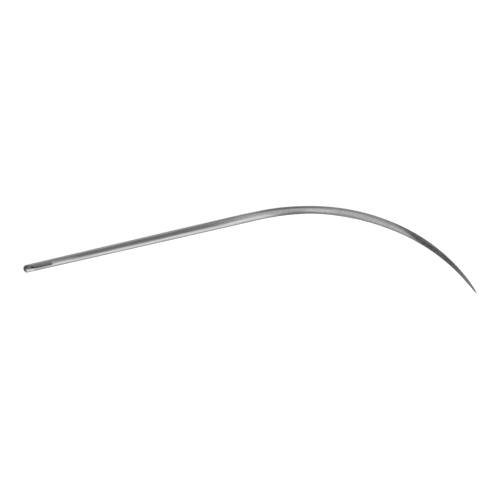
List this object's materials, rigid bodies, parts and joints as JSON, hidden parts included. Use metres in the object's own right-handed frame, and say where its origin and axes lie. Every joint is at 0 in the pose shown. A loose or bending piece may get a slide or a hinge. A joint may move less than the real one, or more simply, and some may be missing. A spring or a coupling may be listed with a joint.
{
  "type": "pelt needle",
  "caption": "Half-curved steel pelt needle: a round shank with a slotted eye runs into a bent three-square blade that tapers to a cutting point.",
  "frame": {"origin": "on the surface that the needle lies on, under the middle of its outline seen from above", "axes": "+X along the shank from the head towards the bend, +Z square to the bend plane, along the eye and out of the upward face of the blade, -Y on the hollow side of the bend"},
  "size_m": [0.1136, 0.0342, 0.0024],
  "materials": {
    "steel": "polished shank, ground blade"
  },
  "bodies": {
    "root": {"needle": "steel"}
  },
  "joints": []
}
